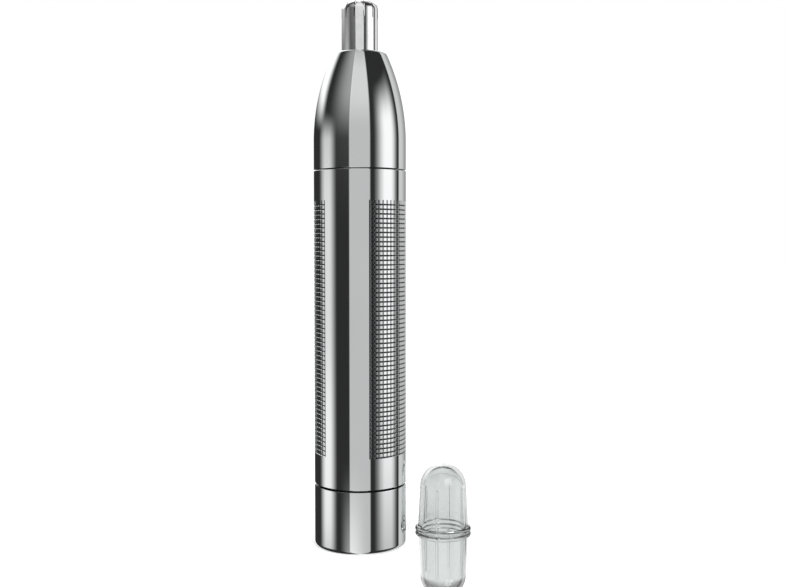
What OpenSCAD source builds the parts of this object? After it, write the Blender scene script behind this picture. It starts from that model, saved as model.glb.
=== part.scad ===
// Slim battery nose hair trimmer, standing on its base, with its clear cap beside it.
// The origin is the centre of the base's underside. +Z runs up the trimmer's axis.

/* [Overall] */
// Diameter of the body tube, the base cap and the lower part of the head
body_d = 22; // [21.6:0.2:28]
// Height of the base cap, from its resting face to its rim
base_h = 14.9; // [14:0.1:20]
// Length of the body tube
tube_l = 74; // [74:1:100]
// Height of the head's metal shell
head_h = 27.4; // [26:0.2:36]
// Height of the cutter above the head's flat top
cutter_h = 12.1; // [9:0.1:16]
// Gap at the seams between base, tube and head
seam = 0.2; // [0.1:0.05:0.3]
// Thickness of the base, tube and head shells
shell_t = 0.8; // [0.5:0.05:1]

/* [Head] */
// Straight length of the head below its curved nose
head_straight = 6.7; // [6:0.1:10]
// Diameter that the nose's side curve reaches at its flat top
nose_top_d = 12.8; // [12.6:0.1:15]
// Rounding of the edge of the flat top
nose_edge = 0.8; // [0.3:0.1:1]
// Length of the head's neck inside the tube
neck_l = 9.1; // [6:0.1:10]

/* [Cutter] */
// Diameter of the outer cutter
cutter_d = 8.66; // [7:0.02:10.4]
// Wall of the outer cutter
cutter_wall = 0.35; // [0.25:0.05:0.5]
// Radius of the outer cutter's shoulder
cutter_shoulder = 2; // [1:0.1:2.5]
// Number of hair slots
slot_count = 12; // [8:1:16]
// Width of a hair slot
slot_w = 0.4; // [0.3:0.05:0.6]
// Depth of the hair slots below the cutter's top
slot_depth = 4.1; // [3:0.1:6]
// Number of blades on the inner cutter
blade_count = 4; // [2:1:6]
// Diameter of the spindle that drives the inner cutter
spindle_d = 3; // [2.6:0.1:3.6]

/* [Motor] */
// Diameter of the motor across its round sides
motor_d = 15.5; // [12.5:0.1:15.6]
// Width of the motor across its flats
motor_flats = 12.1; // [11.4:0.1:12.4]
// Length of the motor with its end cap
motor_l = 18.8; // [17:0.1:19]
// Diameter of the motor shaft
shaft_d = 2; // [1.5:0.1:2.4]

/* [Battery] */
// Diameter of the battery
battery_d = 14.5; // [10.5:0.1:14.6]
// Length of the battery with its positive nub
battery_l = 50.5; // [44:0.1:50.5]
// Height of the battery spring when compressed
spring_h = 6.1; // [4:0.1:6.1]

/* [Cap] */
// Outer diameter of the clear cap at the foot of its wall
cap_d = 12.5; // [11.6:0.1:14]
// Outer diameter of the clear cap's dome
cap_dome_d = 11.6; // [11.4:0.1:12.4]
// Outer diameter of the clear cap's rim
cap_rim_d = 14; // [13:0.1:16]
// Height of the clear cap
cap_h = 17; // [15:0.1:20]
// Wall of the clear cap
cap_wall = 0.9; // [0.8:0.05:1]
// Number of ribs that grip the cutter
cap_ribs = 4; // [3:1:6]
// Place of the clear cap, to the right of the trimmer's axis
cap_x = 20.4; // [19:0.2:40]
// Place of the clear cap, behind the trimmer's axis
cap_y = 10.3; // [10:0.2:40]

/* [Fits] */
// Radial clearance of a part that slides or turns in another
fit = 0.1; // [0.05:0.05:0.1]
// Radial clearance of a shaft in its bearing
shaft_fit = 0.05; // [0.02:0.01:0.1]
// Gap between moving faces that don't guide each other
gap = 0.3; // [0.2:0.05:0.4]
// Gap left where one piece is glued or pressed into another
seat = 0.02; // [0.01:0.01:0.03]

/* [Hidden] */
$fn = 96;
over = 1;                    // how far a cut runs past the face that it opens

// Radii
tube_r = body_d / 2;
tube_bore = tube_r - shell_t;
glued_r = tube_bore - seat;
battery_r = battery_d / 2;
motor_r = motor_d / 2;
shaft_r = shaft_d / 2;
spindle_r = spindle_d / 2;
cutter_r = cutter_d / 2;

// Levels of the outer shells
z_tube0 = base_h + seam;
z_tube1 = z_tube0 + tube_l;
z_head0 = z_tube1 + seam;
z_nose0 = z_head0 + head_straight;
z_head1 = z_head0 + head_h;
z_top = z_head1 + cutter_h;

// Base cap: the insert's floor, the contact, the spring and the battery stand on each other
insert_floor = 2.2;
contact_t = 0.3;
contact_gap = 0.1;
strip_w = 2.6;
z_insert = shell_t + seat;
z_contact0 = z_insert + insert_floor;
z_contact1 = z_contact0 + contact_t;
z_battery0 = z_contact1 + spring_h + contact_gap;
z_battery1 = z_battery0 + battery_l;
nub_r = 2.7;
nub_h = 1.3;
sleeve_t = 0.15;
well_r = battery_r + 0.5;
bay_r = battery_r + 0.35;
spring_wire = 0.7;
spring_foot_r = 5.5;
spring_top_r = 3.2;

// Base collar, glued in the tube, guides the base insert's neck
collar_t = 0.78;
collar_h = 4.2;
collar_bore = tube_bore - collar_t;
base_neck_r = collar_bore - fit;
z_shoulder = base_h - gap;
z_collar0 = z_tube0 + gap;
z_collar1 = z_collar0 + collar_h;
base_ring_wire = 0.8;
z_base_ring = z_collar0 + collar_h / 2;

// Switch ring: three dogs on the base insert turn it
dog_count = 3;
dog_angle = 30;
dog_h = 3;
ring_h = 5;
z_ring0 = z_collar1 + gap;
z_ring1 = z_ring0 + ring_h;
z_dog1 = z_ring0 + dog_h;
notch_angle = dog_angle + 4;
notch_r = base_neck_r + 0.25;
wiper_t = 0.25;
wiper_in = well_r + 0.4;
wiper_out = wiper_in + 1;
wiper_mid = (wiper_in + wiper_out) / 2;
off_angle = 45;              // the wiper's contact stands this far before the fixed contact

// Chassis: battery bay, partition, motor bay and the tower inside the head's neck
z_chassis0 = z_ring1 + gap;
z_plate0 = z_battery1 + contact_gap;
z_part0 = z_plate0 + contact_t;
partition_t = 1.6;
z_part1 = z_part0 + partition_t;
tower_drop = 3.8;
top_plate_t = 2;
z_tower1 = z_tube1 - tower_drop;
z_motor1 = z_tower1 - top_plate_t;
z_motor0 = z_motor1 - motor_l;
tower_wall = 0.53;
tower_r = motor_r + seat + tower_wall;
z_neck0 = z_tube1 - neck_l;
z_flange1 = z_neck0 - 0.7;
strip_t = 0.3;
strip_y = tube_bore - gap - strip_t;  // inner face of the negative strip's riser

// Motor
can_t = 0.6;
end_cap_t = 1.9;
boss_r = 3;
boss_h = 1;
z_can0 = z_motor0 + end_cap_t;
magnet_t = 1.5;
magnet_over = 1.5;           // how far the magnets reach past the armature's core
magnet_in = motor_r - can_t - seat - magnet_t;
magnet_half_angle = min(48, asin((motor_flats / 2 - can_t - 0.1) / (magnet_in + magnet_t)));
core_r = magnet_in - 0.25;
core_l = 9;
core_hub = 1.2;
pole_w = 1.4;
pole_gap = 1.3;
pole_tip = 0.8;
coil_w = 3;
z_core0 = z_can0 + 4.6;
coil_end = 1;
bearing_r = 1.9;
end_bearing_l = 1.5;
comm_r = 2;
z_comm0 = z_can0 + 0.6;
comm_l = 2.4;
comm_slit_w = 0.25;
comm_slit_depth = 0.5;
brush_w = 1.2;
brush_h = 1;
terminal_w = 2;
terminal_t = 0.3;
terminal_y = 4;              // inner face of a terminal blade
terminal_drop = 2.1;
z_terminal0 = z_motor0 - terminal_drop;
z_arm = z_terminal0 + 0.7;   // underside of the negative strip's arm
screw_r = 0.95;
screw_head_r = 1.6;
screw_head_h = 1;
screw_x = min(5.4, motor_r - screw_head_r - can_t);
screw_bite = 1;
recess_w = 0.4;
recess_l = 1.8;
recess_depth = 0.4;

// Drive coupling and spindle
coupling_r = 3.6;
coupling_h = 4.3;
z_coupling0 = z_tower1 + seat + screw_head_h + gap;
z_shaft1 = z_coupling0 + 2.1;
tongue_t = 1.5;
tongue_w = 5.2;
tongue_root = 0.3;           // how far the round spindle reaches down into the tongue
z_slot0 = z_shaft1 + gap;
z_tongue0 = z_slot0 + gap;

// Head
neck_r = tube_bore - fit;
neck_bore = tower_r + gap;
head_ring_wire = 0.9;
z_head_ring = z_neck0 + neck_l / 2;
z_deck0 = z_head0 + 3.7;
deck_t = 2;
bush_r = 3;
bush_l = 4.8;
z_bush0 = z_deck0 - 0.4;
z_bush1 = z_bush0 + bush_l;
z_tongue1 = z_bush0 - 1;
boss_t = 1.6;
washer_t = 0.4;
washer_r = 2.9;
clip_t = 0.6;
clip_r = 2.8;
clip_groove = 0.3;
z_washer0 = z_bush1 + shaft_fit;
z_spindle_spring0 = z_washer0 + washer_t;
spindle_spring_h = 6.2;
spindle_spring_r = spindle_r + 0.6;
spindle_wire = 0.5;
z_clip0 = z_spindle_spring0 + spindle_spring_h;

// Nose curve: an arc that leaves the straight wall and reaches nose_top_d at the top
nose_drop = tube_r - nose_top_d / 2;
nose_rise = z_head1 - z_nose0;
nose_arc = (nose_rise * nose_rise + nose_drop * nose_drop) / (2 * nose_drop);
nose_cx = tube_r - nose_arc;
function nose_bore(z) = nose_cx + sqrt(pow(nose_arc - shell_t, 2) - pow(max(z - z_nose0, 0), 2));

// Cutter seat in the head
z_lid = z_head1 - shell_t;   // underside of the shell's flat top
cutter_flange_t = 1;
cutter_flange_r = min(cutter_r + 1.1, nose_bore(z_lid) - 0.15);
z_flange0 = z_lid - seat - cutter_flange_t;
z_holder1 = z_flange0 - seat;
holder_l = 6.8;
z_holder0 = z_holder1 - holder_l;
holder_r = nose_bore(z_holder1) - 0.15;
holder_bore = 3.3;
sleeve_up = 2;               // how far the insert's sleeve reaches up around the holder
z_sleeve1 = z_holder0 + sleeve_up;
sleeve_r = min(holder_r + 1.4, nose_bore(z_sleeve1) - 0.15);

// Inner cutter
blade_fit = 0.05;
blade_t = 0.6;
blade_foot = 1;
hub_wall = 0.8;
z_blade0 = z_head1 + 1.3;
z_blade1 = z_top - cutter_wall - 0.1;
z_spindle1 = z_blade0 + 4;
blade_r = cutter_r - cutter_wall - blade_fit;
blade_shoulder = max(cutter_shoulder - cutter_wall, 0.2);

// Clear cap
cap_rim_h = 1.5;
cap_dome_r = cap_dome_d / 2;
cap_top_t = 1.2;
cap_bore_top = cap_dome_r - cap_wall;
cap_bore_foot = cap_d / 2 - cap_wall;
z_cap_dome = cap_h - cap_dome_r;
z_cap_bore = cap_h - cap_top_t - cap_bore_top;
rib_t = 0.5;
rib_r = cutter_r + 0.12;
rib_turn = -110;             // direction of the first rib, from +X
rib_rise = 11;

// Points of an arc about (cx, cz), from angle a0 to angle a1
function arc(cx, cz, r, a0, a1, steps = 16) =
    [for (i = [0 : steps]) let (a = a0 + (a1 - a0) * i / steps) [cx + r * cos(a), cz + r * sin(a)]];

// A tube from z0 to z1
module tube(outer, inner, z0, z1) {
    translate([0, 0, z0]) difference() {
        cylinder(r = outer, h = z1 - z0);
        translate([0, 0, -over]) cylinder(r = inner, h = z1 - z0 + 2 * over);
    }
}

// A round bar from z0 to z1
module bar(r, z0, z1) {
    translate([0, 0, z0]) cylinder(r = r, h = z1 - z0);
}

// A box centred on x = 0, from y0 to y1 and from z0 to z1
module slab(w, y0, y1, z0, z1) {
    translate([-w / 2, y0, z0]) cube([w, y1 - y0, z1 - z0]);
}

// A ring of round section that fills a groove of outer radius r
module o_ring(r, wire, z) {
    translate([0, 0, z]) rotate_extrude() translate([r - wire / 2, 0]) circle(d = wire, $fn = 32);
}

// A wedge of a cylinder, centred on angle 0
module wedge(angle, inner, outer, z0, z1) {
    translate([0, 0, z0]) rotate([0, 0, -angle / 2])
        rotate_extrude(angle = angle) translate([inner, 0]) square([outer - inner, z1 - z0]);
}

// A coil of round wire whose radius runs from r0 to r1 as it climbs from z0 to z1
module coil(r0, r1, z0, z1, turns, wire, sides = 8, per_turn = 18) {
    rings = turns * per_turn;
    points = [
        for (i = [0 : rings]) let (t = i / rings, a = 360 * turns * t, r = r0 + (r1 - r0) * t)
        for (k = [0 : sides - 1]) let (b = 360 * k / sides, q = r + wire / 2 * cos(b))
        [q * cos(a), q * sin(a), z0 + (z1 - z0) * t + wire / 2 * sin(b)]
    ];
    walls = [
        for (i = [0 : rings - 1]) for (k = [0 : sides - 1]) let (n = (k + 1) % sides)
        [i * sides + k, i * sides + n, (i + 1) * sides + n, (i + 1) * sides + k]
    ];
    foot = [for (k = [0 : sides - 1]) sides - 1 - k];
    tip = [for (k = [0 : sides - 1]) rings * sides + k];
    polyhedron(points, concat(walls, [foot, tip]), convexity = 6);
}

// Body tube: the outer metal sleeve
module body_tube() {
    color("silver") tube(tube_r, tube_bore, z_tube0, z_tube1);
}

// The motor's outline, grown by a clearance
module motor_outline(grow) {
    intersection() {
        circle(r = motor_r + grow);
        square([motor_d + 2, motor_flats + 2 * grow], center = true);
    }
}

// The whole chassis, before it is split into its front and back halves
module chassis() {
    difference() {
        union() {
            bar(glued_r, z_chassis0, z_flange1);
            bar(tower_r, z_flange1 - over, z_tower1);
        }
        bar(bay_r, z_chassis0 - over, z_part0);
        bar(motor_r - can_t, z_part1, z_motor0 + over);
        translate([0, 0, z_motor0]) linear_extrude(motor_l) motor_outline(seat);
        bar(boss_r + seat, z_motor1 - over, z_tower1 + over);
        for (side = [-1, 1]) translate([side * screw_x, 0, 0])
            bar(screw_r + seat, z_motor1 - over, z_tower1 + over);
        // way through the partition for the positive strip
        slab(strip_w + 2 * seat, -terminal_y - terminal_t - strip_t - seat, -terminal_y,
            z_part0 - over, z_part1 + over);
        // groove and window for the negative strip
        slab(strip_w + 2 * seat, strip_y - seat, tube_r, z_chassis0 - over, z_arm + strip_t + seat);
        slab(strip_w + 2 * seat, terminal_y, tube_r, z_arm - seat, z_arm + strip_t + seat);
        slab(strip_w + 2 * seat, wiper_in - seat, tube_r, z_chassis0 - over, z_chassis0 + strip_t + seat);
    }
}

// The front or back half of space
module half_space(side) {
    translate([-tube_r - over, side > 0 ? 0 : -tube_r - over, 0])
        cube([2 * (tube_r + over), tube_r + over, z_top]);
}

// Chassis, front half: carries the battery and the motor
module chassis_front() {
    color("dimgray") intersection() {
        chassis();
        half_space(-1);
    }
}

// Chassis, back half: also carries the negative strip in its groove
module chassis_back() {
    color("gray") intersection() {
        chassis();
        half_space(1);
    }
}

// Base collar: glued in the tube, the base cap's neck turns and slides in it
module base_collar() {
    color("gray") tube(glued_r, collar_bore, z_collar0, z_collar1);
}

// Positive strip: a plate over the battery's nub and a riser to the motor
module positive_strip() {
    riser_y = -terminal_y - terminal_t - strip_t;
    color("gold") {
        slab(strip_w, riser_y, nub_r, z_plate0, z_part0);
        slab(strip_w, riser_y, riser_y + strip_t, z_plate0, z_terminal0 + terminal_drop - gap);
    }
}

// Negative strip: a foot that the switch wiper reaches, a riser and an arm to the motor
module negative_strip() {
    color("gold") {
        slab(strip_w, wiper_in, strip_y + strip_t, z_chassis0, z_chassis0 + strip_t);
        slab(strip_w, strip_y, strip_y + strip_t, z_chassis0, z_arm + strip_t);
        slab(strip_w, terminal_y + terminal_t, strip_y + strip_t, z_arm, z_arm + strip_t);
    }
}

// Motor can: a drawn steel can with two flats and a bearing boss
module motor_can() {
    color("lightgray") difference() {
        union() {
            translate([0, 0, z_can0]) linear_extrude(z_motor1 - z_can0) motor_outline(0);
            bar(boss_r, z_motor1 - over, z_motor1 + boss_h);
        }
        translate([0, 0, z_can0 - over])
            linear_extrude(z_motor1 - z_can0 + over - can_t) motor_outline(-can_t);
        bar(bearing_r + seat, z_can0, z_motor1 + boss_h + over);
        for (side = [-1, 1]) translate([side * screw_x, 0, 0])
            bar(screw_r + seat, z_can0, z_motor1 + over);
    }
}

// Motor magnets: two curved magnets held in the can's round sides
module motor_magnets() {
    color("dimgray") for (turn = [0, 180]) rotate([0, 0, turn])
        wedge(2 * magnet_half_angle, magnet_in, magnet_in + magnet_t,
            z_core0 - magnet_over, z_core0 + core_l + magnet_over);
}

// Motor bearings: a sintered bush in the can's boss and one in the end cap
module motor_bearings() {
    color("peru") {
        tube(bearing_r, shaft_r + shaft_fit, z_motor1 - can_t, z_motor1 + boss_h);
        tube(bearing_r, shaft_r + shaft_fit, z_motor0, z_motor0 + end_bearing_l);
    }
}

// Motor end cap: plastic, closes the can and holds the rear bearing and the terminals
module motor_end_cap() {
    color("whitesmoke") difference() {
        translate([0, 0, z_motor0]) linear_extrude(end_cap_t - seat) motor_outline(0);
        bar(bearing_r + seat, z_motor0 - over, z_can0 + over);
        for (side = [-1, 1]) rotate([0, 0, side > 0 ? 0 : 180])
            slab(terminal_w + 2 * seat, terminal_y - seat, terminal_y + terminal_t + seat,
                z_motor0 - over, z_can0 + over);
    }
}

// Motor terminals: two brass blades, each with the brush that it carries inside
module motor_terminals() {
    z_brush = z_comm0 + comm_l / 2;
    color("gold") for (turn = [0, 180]) rotate([0, 0, turn]) {
        slab(terminal_w, terminal_y, terminal_y + terminal_t, z_terminal0, z_brush + brush_h / 2);
        slab(brush_w, comm_r + blade_fit, terminal_y + terminal_t, z_brush - brush_h / 2, z_brush + brush_h / 2);
    }
}

// Motor screws: two pan heads through the chassis's top plate into the can
module motor_screws() {
    color("silver") for (side = [-1, 1]) translate([side * screw_x, 0, 0]) {
        bar(screw_r, z_motor1 - screw_bite, z_tower1 + seat);
        difference() {
            bar(screw_head_r, z_tower1 + seat, z_tower1 + seat + screw_head_h);
            for (turn = [0, 90]) rotate([0, 0, turn])
                slab(recess_w, -recess_l / 2, recess_l / 2, z_tower1 + seat + screw_head_h - recess_depth,
                    z_tower1 + screw_head_h + over);
        }
    }
}

// Motor shaft: runs in both bearings and carries everything that turns
module motor_shaft() {
    color("silver") bar(shaft_r, z_motor0 + 0.1, z_shaft1);
}

// Armature core: laminated steel with three poles
module armature_core() {
    z1 = z_core0 + core_l;
    color("slategray") difference() {
        union() {
            bar(shaft_r + core_hub, z_core0, z1);
            for (turn = [0, 120, 240]) rotate([0, 0, turn])
                slab(pole_w, 0, core_r - pole_tip / 2, z_core0, z1);
            difference() {
                tube(core_r, core_r - pole_tip, z_core0, z1);
                for (turn = [60, 180, 300]) rotate([0, 0, turn])
                    slab(pole_gap, 0, core_r + over, z_core0 - over, z1 + over);
            }
        }
        bar(shaft_r + seat, z_core0 - over, z1 + over);
    }
}

// Armature windings: one copper coil around each pole
module armature_windings() {
    z1 = z_core0 + core_l;
    inner = shaft_r + core_hub + 2 * seat;
    outer = core_r - pole_tip - 2 * seat;
    color("chocolate") for (turn = [0, 120, 240]) rotate([0, 0, turn]) difference() {
        intersection() {
            slab(coil_w, inner + coil_end / 2, outer, z_core0 - coil_end, z1 + coil_end);
            bar(outer, z_core0 - coil_end, z1 + coil_end);
        }
        slab(pole_w + 2 * seat, 0, core_r, z_core0 - seat, z1 + seat);
    }
}

// Commutator: three copper segments on a plastic hub
module commutator() {
    color("darkorange") difference() {
        bar(comm_r, z_comm0, z_comm0 + comm_l);
        bar(shaft_r + seat, z_comm0 - over, z_comm0 + comm_l + over);
        for (turn = [0, 120, 240]) rotate([0, 0, turn])
            slab(comm_slit_w, comm_r - comm_slit_depth, comm_r + over,
                z_comm0 + comm_slit_depth, z_comm0 + comm_l + over);
    }
}

// Drive coupling: pressed on the motor shaft, its slot takes the spindle's tongue
module drive_coupling() {
    z1 = z_coupling0 + coupling_h;
    color("white") difference() {
        bar(coupling_r, z_coupling0, z1);
        bar(shaft_r + seat, z_coupling0 - over, z_shaft1 + seat);
        slab(tongue_t + 0.4, -coupling_r - over, coupling_r + over, z_slot0, z1 + over);
    }
}

// Head shell: straight wall, curved nose and flat top with the cutter's hole
module head_shell() {
    inner_arc = nose_arc - shell_t;
    edge_cx = nose_cx + sqrt(pow(nose_arc - nose_edge, 2) - pow(nose_rise - nose_edge, 2));
    edge_a = atan2(nose_rise - nose_edge, edge_cx - nose_cx);
    lid_a = asin((nose_rise - shell_t) / inner_arc);
    hole_r = cutter_r + blade_fit;
    color("silver") rotate_extrude() polygon(concat(
        [[tube_bore, z_head0], [tube_r, z_head0]],
        arc(nose_cx, z_nose0, nose_arc, 0, edge_a, 24),
        arc(edge_cx, z_head1 - nose_edge, nose_edge, edge_a, 90, 8),
        [[hole_r, z_head1], [hole_r, z_lid]],
        arc(nose_cx, z_nose0, inner_arc, lid_a, 0, 24)
    ));
}

// Head insert: the plastic core with the neck that plugs into the tube
module head_insert() {
    z_deck1 = z_deck0 + deck_t;
    color("gray") difference() {
        union() {
            bar(neck_r, z_neck0, z_head0 + over);
            bar(glued_r, z_head0 + seat, z_deck1);
            bar(bush_r + boss_t, z_deck1 - over, z_bush1 - gap);
            tube(sleeve_r, holder_r + seat, z_deck1 - over, z_sleeve1);
        }
        bar(neck_bore, z_neck0 - over, z_deck0);
        bar(bush_r + seat, z_deck0 - over, z_top);
        tube(neck_r + over, neck_r + fit - head_ring_wire - blade_fit,
            z_head_ring - head_ring_wire / 2 - seat, z_head_ring + head_ring_wire / 2 + seat);
    }
}

// Head O-ring: holds the head in the tube by friction and keeps water out
module head_o_ring() {
    color("black") o_ring(neck_r + fit - blade_fit / 2, head_ring_wire, z_head_ring);
}

// Cutter holder: presses the outer cutter's flange up under the shell's flat top
module cutter_holder() {
    color("gray") tube(holder_r, holder_bore, z_holder0, z_holder1);
}

// Outer cutter: a thin slotted steel cup
module outer_cutter() {
    bore = cutter_r - cutter_wall;
    round_in = blade_shoulder;
    z_in = z_top - cutter_wall;
    color("gainsboro") difference() {
        rotate_extrude() polygon(concat(
            [[bore, z_flange0], [cutter_flange_r, z_flange0]],
            [[cutter_flange_r, z_flange0 + cutter_flange_t], [cutter_r, z_flange0 + cutter_flange_t]],
            arc(cutter_r - cutter_shoulder, z_top - cutter_shoulder, cutter_shoulder, 0, 90, 8),
            [[0, z_top], [0, z_in]],
            arc(bore - round_in, z_in - round_in, round_in, 90, 0, 8)
        ));
        for (i = [0 : slot_count - 1]) rotate([0, 0, (i + 0.5) * 360 / slot_count])
            translate([1.6, -slot_w / 2, z_top - slot_depth]) cube([cutter_r, slot_w, slot_depth + over]);
    }
}

// Spindle bush: a sintered bush pressed into the head insert's deck
module spindle_bush() {
    color("peru") tube(bush_r, spindle_r + shaft_fit, z_bush0, z_bush1);
}

// Cutter spindle: a round shaft with a flat tongue at its foot and a groove for the clip
module cutter_spindle() {
    color("white") difference() {
        union() {
            bar(spindle_r, z_tongue1 - tongue_root, z_spindle1);
            slab(tongue_t, -tongue_w / 2, tongue_w / 2, z_tongue0, z_tongue1);
        }
        tube(spindle_r + over, spindle_r - clip_groove, z_clip0 - seat, z_clip0 + clip_t + seat);
    }
}

// Inner cutter: upright blades on a disc, rounded to follow the outer cutter's inside
module inner_cutter() {
    hub_r = spindle_r + seat + hub_wall;
    color("gainsboro") difference() {
        union() {
            bar(blade_r - gap, z_blade0, z_blade0 + blade_foot);
            bar(hub_r, z_blade0, z_spindle1 + hub_wall);
            intersection() {
                rotate_extrude() polygon(concat(
                    [[0, z_blade0], [blade_r, z_blade0]],
                    arc(blade_r - blade_shoulder, z_blade1 - blade_shoulder, blade_shoulder, 0, 90, 8),
                    [[0, z_blade1]]
                ));
                for (i = [0 : blade_count - 1]) rotate([0, 0, i * 360 / blade_count])
                    translate([spindle_r - 0.4, -blade_t / 2, z_blade0])
                        cube([blade_r, blade_t, z_blade1 - z_blade0]);
            }
        }
        bar(spindle_r + seat, z_blade0 - over, z_spindle1 + seat);
    }
}

// Spindle spring: lifts the inner cutter against the outer one
module spindle_spring() {
    color("silver") coil(spindle_spring_r, spindle_spring_r, z_spindle_spring0 + spindle_wire / 2,
        z_clip0 - spindle_wire / 2, 5, spindle_wire);
}

// Spindle washer: between the bush and the spring
module spindle_washer() {
    color("silver") tube(washer_r, spindle_r + shaft_fit, z_washer0, z_spindle_spring0);
}

// Spindle clip: a C-shaped clip in the spindle's groove, above the spring
module spindle_clip() {
    color("silver") difference() {
        tube(clip_r, spindle_r - clip_groove + seat, z_clip0, z_clip0 + clip_t);
        slab(2, 0, clip_r + over, z_clip0 - over, z_clip0 + clip_t + over);
    }
}

// Switch ring: turned by the base insert's dogs, held between collar and chassis
module switch_ring() {
    color("firebrick") difference() {
        tube(tube_bore - fit, well_r, z_ring0, z_ring1);
        for (i = [0 : dog_count - 1]) rotate([0, 0, 90 - off_angle + i * 360 / dog_count])
            wedge(notch_angle, well_r - over, notch_r, z_ring0 - over, z_dog1 + gap);
        tube(wiper_out + seat, wiper_in - seat, z_ring1 - wiper_t - seat, z_ring1 + over);
        rotate([0, 0, -off_angle]) slab(strip_w + 2 * seat, well_r - over, wiper_in + strip_t,
            z_dog1, z_ring1 + over);
    }
}

// Switch wiper: a brass ring with a contact bump and a tab down to the base's strip
module switch_wiper() {
    z1 = z_ring1;
    z0 = z1 - wiper_t;
    color("gold") {
        tube(wiper_out, wiper_in, z0, z1);
        rotate([0, 0, -off_angle]) slab(strip_w, well_r, wiper_mid, z0, z1);
        rotate([0, 0, -off_angle]) slab(strip_w, well_r, well_r + strip_t, z_dog1 + gap / 2, z1);
        rotate([0, 0, 90 - off_angle]) translate([wiper_mid, 0, z1 - seat])
            cylinder(r = 0.4, h = gap / 2 + seat, $fn = 24);
    }
}

// Base shell: a drawn metal cup with a rounded bottom edge
module base_shell() {
    edge = 1;
    color("silver") rotate_extrude() polygon(concat(
        [[0, 0]],
        arc(tube_r - edge, edge, edge, -90, 0, 8),
        [[tube_r, base_h], [tube_bore, base_h], [tube_bore, shell_t], [0, shell_t]]
    ));
}

// Base insert: the plastic core with the battery well, the neck and the switch dogs
module base_insert() {
    groove_in = collar_bore - base_ring_wire - blade_fit;
    color("gray") difference() {
        union() {
            bar(glued_r, z_insert, z_shoulder);
            bar(base_neck_r, z_shoulder - over, z_collar1);
            for (i = [0 : dog_count - 1]) rotate([0, 0, 90 - off_angle + i * 360 / dog_count])
                wedge(dog_angle, well_r - 0.5, base_neck_r, z_collar1 - over, z_dog1);
        }
        bar(well_r, z_contact0, z_top);
        tube(base_neck_r + over, groove_in, z_base_ring - base_ring_wire / 2 - seat,
            z_base_ring + base_ring_wire / 2 + seat);
        rotate([0, 0, -off_angle]) slab(strip_w + 2 * seat, 0, well_r + strip_t + seat, z_contact0, z_top);
    }
}

// Base contact: a brass disc under the spring and a strip up the inside of the neck
module base_contact() {
    color("gold") rotate([0, 0, -off_angle]) {
        translate([0, 0, z_contact0 + seat]) linear_extrude(contact_t - seat) {
            circle(r = well_r - gap);
            translate([-strip_w / 2, 0]) square([strip_w, well_r + strip_t]);
        }
        slab(strip_w, well_r, well_r + strip_t, z_contact1 - contact_t / 2, z_dog1);
    }
}

// Battery spring: a conical coil that presses the battery against the positive plate
module battery_spring() {
    color("silver") coil(spring_foot_r, spring_top_r, z_contact1 + spring_wire / 2 + seat,
        z_battery0 - contact_gap - spring_wire / 2, 4, spring_wire);
}

// Base O-ring: seals and grips the base cap's neck in the collar
module base_o_ring() {
    color("black") o_ring(collar_bore - blade_fit / 2, base_ring_wire, z_base_ring);
}

// Battery can: one AA cell with its positive nub upwards
module battery_can() {
    r = battery_r - sleeve_t;
    z1 = z_battery1 - nub_h;
    color("darkgray") rotate_extrude() polygon([
        [0, z_battery0], [r - 0.4, z_battery0], [r, z_battery0 + 0.4], [r, z1 - 0.4], [r - 0.4, z1],
        [nub_r, z1], [nub_r, z_battery1 - 0.3], [nub_r - 0.3, z_battery1], [0, z_battery1]
    ]);
}

// Battery sleeve: the thin jacket around the can
module battery_sleeve() {
    color("steelblue") tube(battery_r, battery_r - sleeve_t + seat / 2, z_battery0 + 0.4,
        z_battery1 - nub_h - 0.4);
}

// Battery washer: the insulating ring around the nub
module battery_washer() {
    z0 = z_battery1 - nub_h;
    color("black") tube(battery_r - 0.8, nub_r + seat, z0 + seat, z0 + 0.3);
}

// Protective cap: a clear dome with a flared rim and ribs that grip the cutter
module protective_cap() {
    rim_r = cap_rim_d / 2;
    rim_edge = cap_rim_h / 2;
    color([0.8, 0.9, 0.92, 0.4]) translate([cap_x, cap_y, 0]) {
        difference() {
            rotate_extrude() polygon(concat(
                [[0, 0]],
                arc(rim_r - rim_edge, rim_edge, rim_edge, -90, 90, 12),
                [[cap_d / 2, cap_rim_h]],
                arc(0, z_cap_dome, cap_dome_r, 0, 90, 16)
            ));
            rotate_extrude() polygon(concat(
                [[0, -over], [cap_bore_foot, -over], [cap_bore_foot, 0]],
                arc(0, z_cap_bore, cap_bore_top, 0, 90, 16)
            ));
        }
        for (i = [0 : cap_ribs - 1]) rotate([0, 0, rib_turn + i * 360 / cap_ribs]) intersection() {
            translate([rib_r, -rib_t / 2, cap_rim_h]) cube([cap_d / 2, rib_t, rib_rise - cap_rim_h]);
            rotate_extrude() polygon([
                [0, 0], [cap_d / 2 - cap_wall / 2, 0],
                [cap_dome_r - cap_wall / 2, z_cap_dome], [0, cap_h]
            ]);
        }
    }
}

body_tube();
chassis_front();
chassis_back();
base_collar();
positive_strip();
negative_strip();
motor_can();
motor_magnets();
motor_bearings();
motor_end_cap();
motor_terminals();
motor_screws();
motor_shaft();
armature_core();
armature_windings();
commutator();
drive_coupling();
head_shell();
head_insert();
head_o_ring();
cutter_holder();
outer_cutter();
spindle_bush();
cutter_spindle();
inner_cutter();
spindle_spring();
spindle_washer();
spindle_clip();
switch_ring();
switch_wiper();
base_shell();
base_insert();
base_contact();
battery_spring();
base_o_ring();
battery_can();
battery_sleeve();
battery_washer();
protective_cap();
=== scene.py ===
# A slim metal nose hair trimmer standing on its base, with its clear cap beside it.
from math import asin, atan2, cos, pi, radians, sin, sqrt

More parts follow.
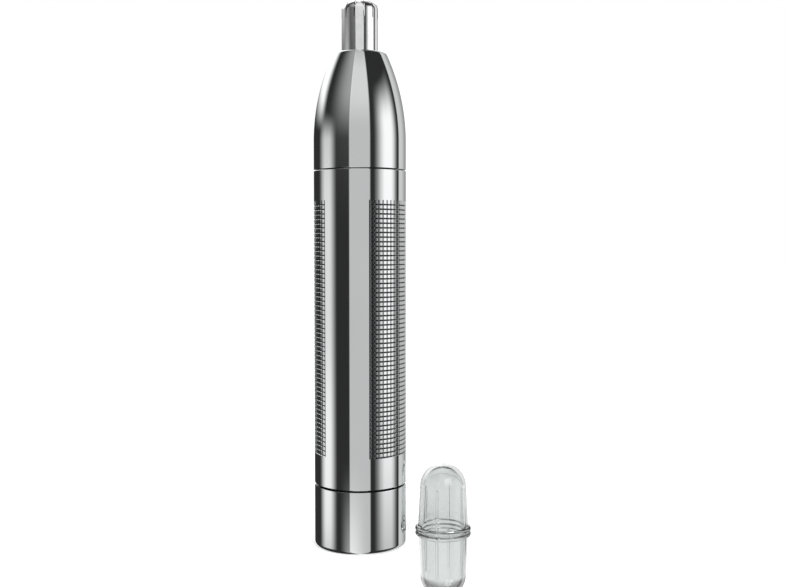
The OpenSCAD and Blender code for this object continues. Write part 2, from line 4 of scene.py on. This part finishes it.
import bpy
import numpy as np
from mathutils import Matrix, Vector


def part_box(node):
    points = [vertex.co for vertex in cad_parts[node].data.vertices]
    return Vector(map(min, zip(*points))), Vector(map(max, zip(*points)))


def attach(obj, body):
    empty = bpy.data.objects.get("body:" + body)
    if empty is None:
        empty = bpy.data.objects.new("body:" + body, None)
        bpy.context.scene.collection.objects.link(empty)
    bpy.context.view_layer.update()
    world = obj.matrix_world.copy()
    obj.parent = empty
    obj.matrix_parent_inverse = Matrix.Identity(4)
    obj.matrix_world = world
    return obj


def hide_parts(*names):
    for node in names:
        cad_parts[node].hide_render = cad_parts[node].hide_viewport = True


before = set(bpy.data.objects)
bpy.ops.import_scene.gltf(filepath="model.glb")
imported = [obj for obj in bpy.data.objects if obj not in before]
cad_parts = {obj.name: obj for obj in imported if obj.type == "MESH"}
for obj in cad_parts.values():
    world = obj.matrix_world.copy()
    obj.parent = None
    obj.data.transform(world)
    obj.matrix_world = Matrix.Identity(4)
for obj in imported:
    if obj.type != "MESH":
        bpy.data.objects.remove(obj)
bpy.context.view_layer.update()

for thing in bpy.context.selected_objects:
    thing.select_set(False)


# Body tube: a drawn aluminium sleeve, turned and polished to a mirror.
# Two panels of its wall are milled with crossing grooves that leave small square pads
# for grip, with a smooth band between them at the front and at the back.
MM = 0.001


class Value:
    """A node's output. Arithmetic on it adds Math nodes."""

    def __init__(self, shader, socket):
        self.shader = shader
        self.socket = socket

    def output(self, name):
        return Value(self.shader, self.socket.node.outputs[name])

    def maths(self, operation, first, second):
        return self.shader.node("Math", {"operation": operation}, {0: first, 1: second})

    def __add__(self, other):
        return self.maths("ADD", self, other)

    def __sub__(self, other):
        return self.maths("SUBTRACT", self, other)

    def __rsub__(self, other):
        return self.maths("SUBTRACT", other, self)

    def __mul__(self, other):
        return self.maths("MULTIPLY", self, other)

    def __truediv__(self, other):
        return self.maths("DIVIDE", self, other)

    __radd__ = __add__
    __rmul__ = __mul__


class Shader:
    """The nodes of a material or of the world."""

    def __init__(self, owner):
        owner.use_nodes = True
        self.owner = owner
        self.tree = owner.node_tree
        self.tree.nodes.clear()

    def node(self, kind, settings, sockets):
        made = self.tree.nodes.new("ShaderNode" + kind)
        for name, setting in settings.items():
            if name == "stops":
                while len(made.color_ramp.elements) < len(setting):
                    made.color_ramp.elements.new(1)
                for stop, (place, colour) in zip(made.color_ramp.elements, setting):
                    stop.position = place
                    stop.color = (*colour, 1)
            else:
                setattr(made, name, setting)
        for name, value in sockets.items():
            if isinstance(value, Value):
                self.tree.links.new(value.socket, made.inputs[name])
            else:
                made.inputs[name].default_value = value
        return Value(self, made.outputs[0]) if made.outputs else None

    def noise(self, size, detail=3, stretch=(1, 1, 1)):
        """Noise from 0 to 1 whose spots are about size millimetres across."""
        place = self.node("TexCoord", {}, {}).output("Object")
        pulled = self.node("Mapping", {}, {"Vector": place, "Scale": stretch})
        return self.node("TexNoise", {}, {"Vector": pulled, "Scale": 1 / (size * MM), "Detail": detail})

    def ramp(self, factor, *stops):
        """Numbers set at places along the factor, with straight lines between them."""
        greys = [(place, (level, level, level)) for place, level in stops]
        return self.node("ValToRGB", {"stops": greys}, {"Fac": factor})

    def blend(self, factor, first, second):
        """A colour between two others."""
        mixed = self.node("Mix", {"data_type": "RGBA"}, {0: factor, 6: first, 7: second})
        return mixed.output(2)

    def bump(self, height, depth):
        """A normal from a height that runs from 0 to 1, depth millimetres deep."""
        return self.node("Bump", {}, {"Height": height, "Distance": depth * MM})

    def surface(self, **sockets):
        named = {}
        for name, value in sockets.items():
            named[name.replace("_", " ").title().replace("Ior", "IOR")] = value
        shell = self.node("BsdfPrincipled", {}, named)
        self.node("OutputMaterial", {}, {"Surface": shell})
        return self.owner


def rgb(red, green, blue):
    return (red, green, blue, 1)


def centre_distance(shader):
    """Distance from the trimmer's axis, in metres."""
    place = shader.node("TexCoord", {}, {}).output("Object")
    flat = shader.node("VectorMath", {"operation": "MULTIPLY"}, {0: place, 1: (1, 1, 0)})
    return shader.node("VectorMath", {"operation": "LENGTH"}, {0: flat}).output("Value")


def polished_metal(name, outer_radius=None, groove_depth=0):
    """Mirror-polished aluminium, rougher in any grooves where the buff doesn't reach, and painted dark
    there as shade.
    """
    shader = Shader(bpy.data.materials.new(name))
    haze = shader.ramp(shader.noise(9, 5, (1, 1, 0.35)), (0.35, 0), (0.75, 1))
    colour = shader.blend(haze, rgb(0.72, 0.73, 0.73), rgb(0.7, 0.71, 0.715))
    roughness = 0.035 + haze * 0.02
    if outer_radius:
        sunk = (outer_radius * MM - centre_distance(shader)) / (groove_depth * MM)
        # Painted shade: the grooves are coloured near black, besides being made rougher
        groove_shade_and_roughness = shader.ramp(sunk, (0.2, 0), (0.55, 1))
        colour = shader.blend(groove_shade_and_roughness, colour, rgb(0.14, 0.145, 0.15))
        roughness = roughness + groove_shade_and_roughness * 0.2
    ripple = shader.noise(0.6, 2, (1, 1, 4))
    return shader.surface(base_color=colour, metallic=1, roughness=roughness,
                          normal=shader.bump(ripple, 0.0004))


def finish_piece(piece, name, body, material, slot, *nodes):
    """Names a finished piece, gives it its material and ties it to the frame."""
    piece.name = name
    piece.data.materials.clear()
    piece.data.materials.append(material)
    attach(piece, body)
    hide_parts(*nodes)
    bpy.ops.object.select_all(action="DESELECT")


low, high = (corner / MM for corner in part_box("body_tube"))
body_r = high.x
tube_z0, tube_z1 = low.z, high.z
SHELL = 0.8
RIM = 0.1
RIM_STEP = 0.03
# An extra ring this near a rounded edge keeps the shading of the straight wall beside it straight
GUARD = 0.08

PADS_AROUND = 21
PANEL_ANGLE = 120
PANEL_STARTS = (13.3, 193.3)
GROOVE_W = 0.39
GROOVE_DEPTH = 0.2
LIP = 0.05
LIP_DEPTH = 0.045
CROWN = 0.012
GROOVE_RAMP = 0.04
PAD_ROWS = 56
GRIP_Z0 = tube_z0 + 7.5
GRIP_Z1 = tube_z1 - 7.1
BAND_LINES = 9
BORDER = 0.05
MERGE = 0.002 * MM
TUBE_SMOOTH = 20

half_groove = GROOVE_W / 2
groove_cut = [(-half_groove, CROWN), (LIP - half_groove, LIP_DEPTH), (0, GROOVE_DEPTH),
              (half_groove - LIP, LIP_DEPTH), (half_groove, CROWN)]

# A column holds an angle, a depth and whether it lies in a panel, and a row holds a height
# with the same two
columns = []
pad_angle = PANEL_ANGLE / PADS_AROUND
for start in PANEL_STARTS:
    for groove in range(PADS_AROUND + 1):
        middle = start + groove * pad_angle
        for offset, cut in groove_cut:
            before = groove == 0 and offset == -half_groove
            after = groove == PADS_AROUND and offset == half_groove
            columns.append((middle + offset / body_r * 180 / pi, cut, not (before or after)))
        if groove < PADS_AROUND:
            columns.append((middle + pad_angle / 2, 0, True))
    border_angle = (half_groove + BORDER) / body_r * 180 / pi
    band_start = start + PANEL_ANGLE + border_angle
    band_angle = 180 - PANEL_ANGLE - 2 * border_angle
    for line in range(BAND_LINES + 1):
        columns.append((band_start + band_angle * line / BAND_LINES, 0, False))
columns.append((PANEL_STARTS[0] + 360 - half_groove / body_r * 180 / pi, 0, False))

rim_cut = [(0, RIM), (RIM_STEP, RIM_STEP), (RIM, 0)]
rows = [(tube_z0 + up, cut, False) for up, cut in rim_cut]
rows.append((tube_z0 + RIM + GUARD, 0, False))
rows.append((GRIP_Z0 - half_groove - BORDER, 0, False))
row_pitch = (GRIP_Z1 - GRIP_Z0) / PAD_ROWS
for groove in range(PAD_ROWS):
    for offset, cut in groove_cut:
        inside = groove > 0 or offset > -half_groove
        rows.append((GRIP_Z0 + groove * row_pitch + offset, cut, inside))
    rows.append((GRIP_Z0 + (groove + 0.5) * row_pitch, 0, True))
rows.append((GRIP_Z1 - GROOVE_RAMP, 0, True))
rows.append((GRIP_Z1, 0, False))
rows.append((GRIP_Z1 + BORDER, 0, False))
rows.append((tube_z1 - RIM - GUARD, 0, False))
rows += [(tube_z1 - up, cut, False) for up, cut in reversed(rim_cut)]

angles, across, in_panel = (np.array(part, float) for part in zip(*columns))
heights, along, in_rows = (np.array(part, float) for part in zip(*rows))
rim_depth = np.where(in_rows > 0, 0, along)
rim_depth[(heights > tube_z0 + RIM) & (heights < tube_z1 - RIM)] = 0
across = across[None, :] / GROOVE_DEPTH
along = along[:, None] / GROOVE_DEPTH
milled_depth = (across + along - across * along) * GROOVE_DEPTH * in_panel[None, :] * in_rows[:, None]
radii = body_r - milled_depth - rim_depth[:, None]
turns = np.radians(angles)[None, :]
points = np.stack([radii * np.sin(turns), -radii * np.cos(turns), heights[:, None] + 0 * turns], axis=-1)

bpy.ops.mesh.primitive_grid_add(x_subdivisions=len(columns) - 1, y_subdivisions=len(rows) - 1, size=1)
tube = bpy.context.object
tube.data.vertices.foreach_set("co", (points * MM).astype(np.float32).ravel())
bpy.ops.object.mode_set(mode="EDIT")
bpy.ops.mesh.select_all(action="SELECT")
bpy.ops.mesh.remove_doubles(threshold=MERGE)
bpy.ops.mesh.select_all(action="DESELECT")
bpy.ops.mesh.select_mode(type="EDGE")
bpy.ops.mesh.select_non_manifold(extend=False, use_wire=False, use_multi_face=False,
                                 use_non_contiguous=False, use_verts=False)
inwards = (body_r - SHELL) / (body_r - RIM)
bpy.ops.mesh.extrude_region_move()
bpy.ops.transform.resize(value=(inwards, inwards, 1), center_override=(0, 0, 0))
bpy.ops.mesh.bridge_edge_loops()
bpy.ops.mesh.select_all(action="SELECT")
bpy.ops.mesh.normals_make_consistent(inside=False)
bpy.ops.object.mode_set(mode="OBJECT")
bpy.ops.object.shade_smooth_by_angle(angle=radians(TUBE_SMOOTH))
grip_metal = polished_metal("grip_metal", body_r, GROOVE_DEPTH)
finish_piece(tube, "grip_sleeve", "main", grip_metal, "polished_metal", "body_tube")


# Head shell: the same aluminium, spun to a curved nose that ends in a small flat top.
# The cutter comes up through the hole in that top, and the lower rim is broken with a small
# bevel where it meets the tube.
def arc(centre_r, centre_z, radius, start, end, steps):
    """Points of an arc in the outline's plane, with angles in degrees."""
    turns = (radians(start + (end - start) * i / steps) for i in range(steps + 1))
    return [(centre_r + radius * cos(a), centre_z + radius * sin(a)) for a in turns]


def turned(outline, steps=144, smooth=30, closed=True):
    """A turned shape: an outline of (radius, height) points in millimetres, spun about the axis."""
    bpy.ops.mesh.primitive_circle_add(vertices=len(outline))
    piece = bpy.context.object
    places = [(r * MM, 0, z * MM) for r, z in outline]
    piece.data.vertices.foreach_set("co", np.array(places, np.float32).ravel())
    bpy.ops.object.mode_set(mode="EDIT")
    if not closed:
        bpy.ops.mesh.select_mode(type="EDGE")
        bpy.ops.mesh.select_all(action="DESELECT")
        bpy.ops.object.mode_set(mode="OBJECT")
        last = len(outline) - 1
        for side in piece.data.edges:
            side.select = set(side.vertices) == {0, last}
        bpy.ops.object.mode_set(mode="EDIT")
        bpy.ops.mesh.delete(type="EDGE_FACE")
    bpy.ops.mesh.select_all(action="SELECT")
    bpy.ops.mesh.spin(steps=steps, angle=2 * pi, center=(0, 0, 0), axis=(0, 0, 1))
    bpy.ops.mesh.select_all(action="SELECT")
    bpy.ops.mesh.remove_doubles(threshold=MERGE)
    bpy.ops.mesh.normals_make_consistent(inside=False)
    bpy.ops.object.mode_set(mode="OBJECT")
    bpy.ops.object.shade_smooth_by_angle(angle=radians(smooth))
    return piece


low, high = (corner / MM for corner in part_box("head_shell"))
head_z0, head_z1 = low.z, high.z
cutter_low, cutter_high = (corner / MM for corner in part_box("outer_cutter"))
CUTTER_R = 4.33
HEAD_STRAIGHT = 6.7
NOSE_TOP_R = 6.4
NOSE_EDGE = 0.8
HOLE_FIT = 0.05

nose_z0 = head_z0 + HEAD_STRAIGHT
nose_rise = head_z1 - nose_z0
nose_drop = body_r - NOSE_TOP_R
nose_arc = (nose_rise ** 2 + nose_drop ** 2) / (2 * nose_drop)
nose_centre = body_r - nose_arc
edge_centre = nose_centre + sqrt((nose_arc - NOSE_EDGE) ** 2 - (nose_rise - NOSE_EDGE) ** 2)
edge_start = atan2(nose_rise - NOSE_EDGE, edge_centre - nose_centre) * 180 / pi
lid_start = asin((nose_rise - SHELL) / (nose_arc - SHELL)) * 180 / pi
hole_r = CUTTER_R + HOLE_FIT
HOLE_BEVEL = 0.08

head = turned(
    [(body_r - SHELL, head_z0), (body_r - RIM, head_z0), (body_r - RIM_STEP, head_z0 + RIM_STEP)]
    + [(body_r, head_z0 + RIM), (body_r, head_z0 + RIM + GUARD), (body_r, nose_z0 - GUARD)]
    + arc(nose_centre, nose_z0, nose_arc, 0, edge_start, 32)
    + arc(edge_centre, head_z1 - NOSE_EDGE, NOSE_EDGE, edge_start, 90, 8)[1:]
    + [(hole_r + HOLE_BEVEL, head_z1), (hole_r, head_z1 - HOLE_BEVEL), (hole_r, head_z1 - SHELL)]
    + arc(nose_centre, nose_z0, nose_arc - SHELL, lid_start, 0, 24), 180)
shell_metal = polished_metal("shell_metal")
finish_piece(head, "head_nose", "head", shell_metal, "polished_metal", "head_shell")


# Base shell: a deep-drawn aluminium cup that closes the battery end, with a rounded edge
# round the face it stands on. A narrow dark seam is left between its rim and the tube.
low, high = (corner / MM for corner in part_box("base_shell"))
base_z1 = high.z
BASE_EDGE = 1
SEAM = 0.22

rim_z = base_z1 - SEAM
base = turned(
    [(0, 0)]
    + arc(body_r - BASE_EDGE, BASE_EDGE, BASE_EDGE, -90, 0, 10)
    + [(body_r, BASE_EDGE + GUARD), (body_r, rim_z - RIM - GUARD), (body_r, rim_z - RIM)]
    + [(body_r - RIM_STEP, rim_z - RIM_STEP), (body_r - RIM, rim_z)]
    + [(body_r - SHELL, rim_z), (body_r - SHELL, SHELL), (0, SHELL)], 180, closed=False)
finish_piece(base, "base_cup", "base", shell_metal, "polished_metal", "base_shell")


# Outer cutter: a thin steel cup, chrome plated, with twelve slots that hairs enter by.
# It stands still while the inner cutter's four blades wipe past the slots from inside.
CUTTER_WALL = 0.35
SHOULDER = 2
SLOTS = 12
SLOT_W = 0.4
SLOT_DEPTH = 4.1
SLOT_START_R = 1.6
FLANGE_T = 1
# How far the cutting tool runs past what it cuts
PAST = 1


def chrome():
    """Bright plating, with a faint haze and fine rubbing marks."""
    shader = Shader(bpy.data.materials.new("cutter_chrome"))
    haze = shader.ramp(shader.noise(1.5, 4), (0.4, 0), (0.7, 1))
    rubbed = shader.noise(0.25, 2, (1, 1, 0.1))
    colour = shader.blend(haze, rgb(0.98, 0.98, 0.985), rgb(0.9, 0.905, 0.91))
    return shader.surface(base_color=colour, metallic=1, roughness=0.09 + haze * 0.05,
                          normal=shader.bump(rubbed, 0.0005))


def use_modifier(piece, kind, **settings):
    """Adds a modifier, sets it and applies it."""
    bpy.context.view_layer.objects.active = piece
    added = piece.modifiers.new(kind, kind)
    for name, setting in settings.items():
        setattr(added, name, setting)
    bpy.ops.object.modifier_apply(modifier=added.name)


def slabs(count, start_angle, inner, outer, width, z0, z1):
    """Upright slabs set round an axis, each reaching from the inner to the outer radius."""
    bpy.ops.object.select_all(action="DESELECT")
    made = []
    for i in range(count):
        around = radians(start_angle + i * 360 / count)
        reach = (inner + outer) / 2
        bpy.ops.mesh.primitive_cube_add(
            size=1, rotation=(0, 0, around),
            location=(reach * cos(around) * MM, reach * sin(around) * MM, (z0 + z1) / 2 * MM),
            scale=((outer - inner) * MM, width * MM, (z1 - z0) * MM))
        made.append(bpy.context.object)
    for one in made:
        one.select_set(True)
    bpy.ops.object.join()
    bpy.ops.object.transform_apply(location=True, rotation=True, scale=True)
    joined = bpy.context.object
    bpy.ops.object.select_all(action="DESELECT")
    return joined


def cut_with(piece, tool, operation="DIFFERENCE"):
    """Cuts a piece with a tool, or joins the tool to it, and takes the tool away."""
    use_modifier(piece, "BOOLEAN", operation=operation, object=tool, solver="EXACT")
    bpy.data.objects.remove(tool)
    piece.select_set(True)


cutter_top = cutter_high.z
flange_z0, flange_r = cutter_low.z, cutter_high.x
bore = CUTTER_R - CUTTER_WALL
inside_round = SHOULDER - CUTTER_WALL
cutter = turned(
    [(0, cutter_top - CUTTER_WALL)]
    + arc(bore - inside_round, cutter_top - SHOULDER, inside_round, 90, 0, 12)
    + [(bore, flange_z0), (flange_r, flange_z0), (flange_r, flange_z0 + FLANGE_T)]
    + [(CUTTER_R, flange_z0 + FLANGE_T), (CUTTER_R, cutter_top - SHOULDER - GUARD)]
    + arc(CUTTER_R - SHOULDER, cutter_top - SHOULDER, SHOULDER, 0, 90, 12)
    + [(0, cutter_top)], 144, closed=False)
slots = slabs(SLOTS, 180 / SLOTS, SLOT_START_R, CUTTER_R + PAST, SLOT_W,
              cutter_top - SLOT_DEPTH, cutter_top + PAST)
cut_with(cutter, slots)
bpy.context.view_layer.objects.active = cutter
bpy.ops.object.shade_smooth_by_angle(angle=radians(30))
bright_chrome = chrome()
finish_piece(cutter, "slotted_cutter", "head", bright_chrome, "cutter_steel", "outer_cutter")


def dress(material, *nodes):
    """Gives CAD nodes that show as they are their material."""
    for node in nodes:
        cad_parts[node].data.materials.clear()
        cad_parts[node].data.materials.append(material)


dress(bright_chrome, "inner_cutter")


# Protective cap: moulded in clear plastic with a domed end, a thick flared rim and four
# ribs inside that grip the cutter. It is pulled off before use and stands on its rim.
low, high = (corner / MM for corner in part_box("protective_cap"))
cap_x, cap_y = (low.x + high.x) / 2, (low.y + high.y) / 2
rim_r = (high.x - low.x) / 2
cap_h = high.z
CAP_FOOT_R = 6.25
CAP_DOME_R = 5.8
CAP_WALL = 0.9
CAP_TOP = 1.2
CAP_RIM_H = 1.2
FILLET_OUT = 0.12
FILLET_Z0, FILLET_Z1 = 0.02, 0.15
RIB_T = 0.5
RIB_INNER_R = 4.45
RIB_TOP = 11
FIRST_RIB = -110


def clear_plastic():
    """Clear moulded plastic, with a faint cool tint and a few fine scuffs."""
    shader = Shader(bpy.data.materials.new("clear_plastic"))
    scuff = shader.ramp(shader.noise(0.7, 4, (1, 1, 0.2)), (0.62, 0), (0.75, 1))
    flow = shader.noise(6, 2)
    colour = shader.blend(flow, rgb(0.81, 0.84, 0.83), rgb(0.85, 0.87, 0.865))
    return shader.surface(base_color=colour, roughness=0.01 + scuff * 0.05, ior=1.5,
                          transmission_weight=1, normal=shader.bump(flow, 0.004))


rim_half = CAP_RIM_H / 2
dome_z = cap_h - CAP_DOME_R
bore_r = CAP_DOME_R - CAP_WALL
bore_z = cap_h - CAP_TOP - bore_r
cap = turned(
    [(0, cap_h - CAP_TOP)]
    + arc(0, bore_z, bore_r, 90, 0, 20)[1:]
    + [(CAP_FOOT_R - CAP_WALL, 0)]
    + arc(rim_r - rim_half, rim_half, rim_half, -90, 80, 12)
    + [(CAP_FOOT_R + FILLET_OUT, CAP_RIM_H + FILLET_Z0), (CAP_FOOT_R, CAP_RIM_H + FILLET_Z1)]
    + arc(0, dome_z, CAP_DOME_R, 0, 90, 20), 128, closed=False)
ribs = slabs(4, FIRST_RIB, RIB_INNER_R, CAP_DOME_R - CAP_WALL / 2, RIB_T, CAP_RIM_H, RIB_TOP)
cut_with(cap, ribs, "UNION")
bpy.context.view_layer.objects.active = cap
bpy.ops.object.mode_set(mode="EDIT")
bpy.ops.mesh.select_all(action="SELECT")
bpy.ops.transform.translate(value=(cap_x * MM, cap_y * MM, 0))
bpy.ops.object.mode_set(mode="OBJECT")
bpy.ops.object.shade_smooth_by_angle(angle=radians(30))
finish_piece(cap, "clear_cap", "cap", clear_plastic(), "clear_plastic", "protective_cap")


# Moulded cores: the head and base inserts, the collar, the cutter holder and the two chassis
# halves are dark glass-filled plastic with a fine moulded grain, and carry everything inside.
def moulded(name, colour, roughness, grain=0.35):
    """Moulded plastic with a fine grain and slightly worn high spots."""
    shader = Shader(bpy.data.materials.new(name))
    speck = shader.noise(grain, 3)
    cloud = shader.noise(7, 2)
    lighter = tuple(min(1, c * 1.25 + 0.01) for c in colour)
    tone = shader.blend(shader.ramp(cloud, (0.35, 0), (0.7, 1)), rgb(*colour), rgb(*lighter))
    return shader.surface(base_color=tone, roughness=roughness + speck * 0.12,
                          normal=shader.bump(speck, 0.006))


core_plastic = moulded("core_plastic", (0.05, 0.054, 0.058), 0.42)
dress(core_plastic, "chassis_front", "chassis_back", "base_collar", "head_insert",
      "cutter_holder", "base_insert")


# Seals: two O-rings of black nitrile rubber, lightly greased, grip and seal the head and base.
def rubber():
    shader = Shader(bpy.data.materials.new("seal_rubber"))
    bloom = shader.noise(0.8, 4)
    colour = shader.blend(bloom, rgb(0.012, 0.012, 0.012), rgb(0.035, 0.034, 0.033))
    return shader.surface(base_color=colour, roughness=0.3 + bloom * 0.2,
                          normal=shader.bump(bloom, 0.004))


dress(rubber(), "head_o_ring", "base_o_ring")


# Drive: a natural acetal coupling on the motor shaft turns the spindle's flat tongue, and a
# sintered bush, a plated spring, a washer and a clip carry and lift the spindle in the head.
white_plastic = moulded("white_plastic", (0.75, 0.75, 0.72), 0.38)
dress(white_plastic, "drive_coupling", "cutter_spindle", "motor_end_cap")


def worn_metal(name, bright, dull, roughness, size, grain=(1, 1, 1)):
    """Bare or plated metal, mottled between a bright and a duller tone."""
    shader = Shader(bpy.data.materials.new(name))
    mottle = shader.ramp(shader.noise(size, 5, grain), (0.35, 0), (0.7, 1))
    fine = shader.noise(size / 6, 2, grain)
    colour = shader.blend(mottle, rgb(*bright), rgb(*dull))
    return shader.surface(base_color=colour, metallic=1, roughness=roughness + mottle * 0.12,
                          normal=shader.bump(fine, 0.002))


plated_steel = worn_metal("plated_steel", (0.66, 0.66, 0.64), (0.54, 0.54, 0.52), 0.2, 2, (1, 1, 0.25))
dress(plated_steel, "motor_can", "motor_screws", "motor_shaft", "spindle_spring", "spindle_washer",
      "spindle_clip", "battery_spring", "battery_can")
dress(worn_metal("sintered_bronze", (0.55, 0.38, 0.2), (0.36, 0.24, 0.13), 0.45, 0.3),
      "motor_bearings", "spindle_bush")


# Motor: ferrite magnets, a stack of steel laminations wound with enamelled copper and a
# three-part commutator turn inside the plated can.
dress(worn_metal("magnet", (0.14, 0.14, 0.15), (0.09, 0.09, 0.1), 0.5, 0.4), "motor_magnets")
dress(worn_metal("core_steel", (0.36, 0.37, 0.4), (0.24, 0.25, 0.27), 0.4, 0.6, (0.1, 0.1, 6)),
      "armature_core")
dress(worn_metal("copper", (0.78, 0.34, 0.16), (0.55, 0.2, 0.09), 0.28, 0.3, (0.2, 0.2, 5)),
      "armature_windings", "commutator")


# Contacts and switch: stamped brass strips carry the current past the red switch ring, which
# the base cap's dogs turn by 45 degrees.
dress(worn_metal("contact_brass", (0.83, 0.66, 0.3), (0.66, 0.5, 0.22), 0.22, 1.2),
      "motor_terminals", "positive_strip", "negative_strip", "switch_wiper", "base_contact")
dress(moulded("switch_plastic", (0.4, 0.045, 0.035), 0.35), "switch_ring")


# Battery: one cell in a plain film jacket, with a fibre ring round its raised contact.
def film_jacket():
    """Shrunk plastic film over the can, with a plain band of lighter colour near its top."""
    shader = Shader(bpy.data.materials.new("battery_jacket"))
    place = shader.node("TexCoord", {}, {}).output("Object")
    up = shader.node("SeparateXYZ", {}, {"Vector": place}).output("Z")
    jacket_low, jacket_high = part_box("battery_sleeve")
    part = (up - jacket_low.z) / (jacket_high.z - jacket_low.z)
    band = shader.ramp(part, (0.7, 0), (0.705, 1))
    wrinkle = shader.noise(1.5, 3)
    colour = shader.blend(band, rgb(0.02, 0.075, 0.2), rgb(0.6, 0.62, 0.64))
    return shader.surface(base_color=colour, roughness=0.25 + wrinkle * 0.12,
                          normal=shader.bump(wrinkle, 0.01))


dress(film_jacket(), "battery_sleeve")
dress(moulded("battery_insulator", (0.02, 0.02, 0.02), 0.7), "battery_washer")


# Studio: a pale floor with a polished patch that mirrors the cap, two soft lamps, an even dome
# of light, and a ring of light and dark panels that only the polished metal mirrors. Seen
# through the clear cap, the surroundings are pale, with a grey card at each side.
FLOOR_SIZE = 6
FLOOR_GLOW = 0.35
GLOW_THROUGH_CAP = 0.65
MIRROR_SHARE = 0.9
MIRROR_X = ((0.0118, 0.0128), (0.038, 0.03))
MIRROR_Y = ((-0.052, -0.038), (0.028, 0.018))

bpy.ops.mesh.primitive_circle_add(vertices=64, radius=FLOOR_SIZE / 2, fill_type="NGON",
                                  location=(0, 0, -0.00001))
floor = bpy.context.object
bpy.ops.object.transform_apply(location=True)
floor.name = "floor"
floor.visible_glossy = False
shader = Shader(bpy.data.materials.new("pale_floor"))
place = shader.node("TexCoord", {}, {}).output("Object")
spot = shader.node("SeparateXYZ", {}, {"Vector": place})
polished = 1
for axis, bounds in (("X", MIRROR_X), ("Y", MIRROR_Y)):
    for start, end in bounds:
        polished = polished * shader.node(
            "MapRange", {}, {"Value": spot.output(axis), "From Min": start, "From Max": end})
path = shader.node("LightPath", {}, {})
seen = path.output("Is Camera Ray") + path.output("Is Transmission Ray") * GLOW_THROUGH_CAP
paper = shader.node("BsdfDiffuse", {}, {"Color": rgb(0.85, 0.85, 0.85)})
glow = shader.node("Emission", {}, {"Strength": seen * FLOOR_GLOW})
pale = shader.node("AddShader", {}, {0: paper, 1: glow})
mirror = shader.node("BsdfAnisotropic", {}, {"Color": rgb(0.95, 0.95, 0.95), "Roughness": 0.0})
mixed = shader.node("MixShader", {}, {0: polished * MIRROR_SHARE, 1: pale, 2: mirror})
shader.node("OutputMaterial", {}, {"Surface": mixed})
floor.data.materials.append(shader.owner)

DOME = 0.8
DARK = 0.035
BACKDROP = 1.4
CARD = 0.6
OVERHEAD_SHADE = 0.92
FLOOR_MIRROR = 1.15

world = bpy.data.worlds.new("studio")
bpy.context.scene.world = world
shader = Shader(world)
direction = shader.node("TexCoord", {}, {}).output("Generated")
parts = shader.node("SeparateXYZ", {}, {"Vector": direction})
to_degrees = 180 / pi
turned_by = shader.node("Math", {"operation": "ARCTAN2"}, {0: parts.output("X"), 1: 0 - parts.output("Y")})
turned_by = turned_by * to_degrees
raised_by = shader.node("Math", {"operation": "ARCSINE"}, {0: parts.output("Z")}) * to_degrees


def fade(value, start, end):
    """A soft step, from 0 at the start to 1 at the end, which may be the lower of the two."""
    return shader.node("MapRange", {"interpolation_type": "SMOOTHSTEP"},
                       {"Value": value, "From Min": start, "From Max": end})


def panel(level, left, right, low=None, high=None):
    """A panel of light between two soft edges round the object, and between two in height."""
    light = fade(turned_by, *left) * fade(turned_by, *right) * level
    for bound in (low, high):
        if bound:
            light = light * fade(raised_by, *bound)
    return light


# Directions are in degrees: round from the front towards the cap's side, and up from level
studio = (
    DARK
    + panel(0.66, (-26.5, -23.5), (28, 24))
    + panel(0.2, (-26.5, -23.5), (29, 26), (10, 34), (62, 46))
    + panel(0.45, (-52, -24), (22, -22), (-12, -19))
    + panel(0.42, (-92, -28), (-22, -26), (0, 34))
    + panel(1.3, (34, 68), (108, 82), (-28, -7), (38, 14))
    + panel(0.4, (111, 114), (150, 122))
    + panel(0.36, (111, 114), (172, 158))
    + panel(0.95, (-120, -92), (-57, -82), (-30, -12), (18, 1))
    + panel(0.22, (-120, -92), (-57, -82), (-18, -15), (-4, -11))
    + panel(1.35, (-190, -185), (-97, -122), (8, 20))
    + panel(BACKDROP, (158, 166), (190, 185))
    + panel(BACKDROP, (-190, -185), (-166, -170)))
path = shader.node("LightPath", {}, {})
backdrop = CARD + (1 - CARD) * fade(parts.output("Y"), 0.6, 0.95)
overhead = fade(parts.output("Z"), 0.36, 0.6) * fade(parts.output("Z"), 0.88, 0.7)
overhead = overhead * fade(parts.output("Y"), 0, 0.3)
backdrop = backdrop * (1 - OVERHEAD_SHADE * overhead)
level = path.output("Is Glossy Ray") * (studio - DOME) + DOME
level = level + path.output("Is Singular Ray") * (FLOOR_MIRROR - level)
through = shader.node("Math", {"operation": "MINIMUM"}, {0: path.output("Transmission Depth"), 1: 1})
level = level + through * (backdrop - level)
level = level + path.output("Is Camera Ray") * (1 - level)
shade = shader.node("Background", {}, {"Color": rgb(1, 1, 1), "Strength": level})
shader.node("OutputWorld", {}, {"Surface": shade})


def lamp(name, place, aim, size, power):
    """A soft square lamp that points at a spot and isn't mirrored in the metal."""
    bpy.ops.object.light_add(type="AREA", location=place)
    made = bpy.context.object
    made.name = name
    made.data.size = size
    made.data.energy = power
    made.rotation_euler = (Vector(aim) - Vector(place)).to_track_quat("-Z", "Y").to_euler()
    made.visible_glossy = False


lamp("key_lamp", (0.35, -0.45, 0.55), (0, 0, 0.06), 0.5, 3)
lamp("fill_lamp", (-0.55, -0.3, 0.35), (0, 0, 0.06), 0.6, 1.5)

CAMERA_PLACE = (0.0078, -0.2412, 0.0721)
CAMERA_TILT = 2.84
CAMERA_LENS = 46.32
bpy.ops.object.camera_add(location=CAMERA_PLACE, rotation=(radians(90 - CAMERA_TILT), 0, 0))
camera = bpy.context.object
camera.data.lens = CAMERA_LENS
camera.data.clip_start = 0.01
bpy.context.scene.camera = camera
bpy.context.scene.view_settings.view_transform = "Standard"
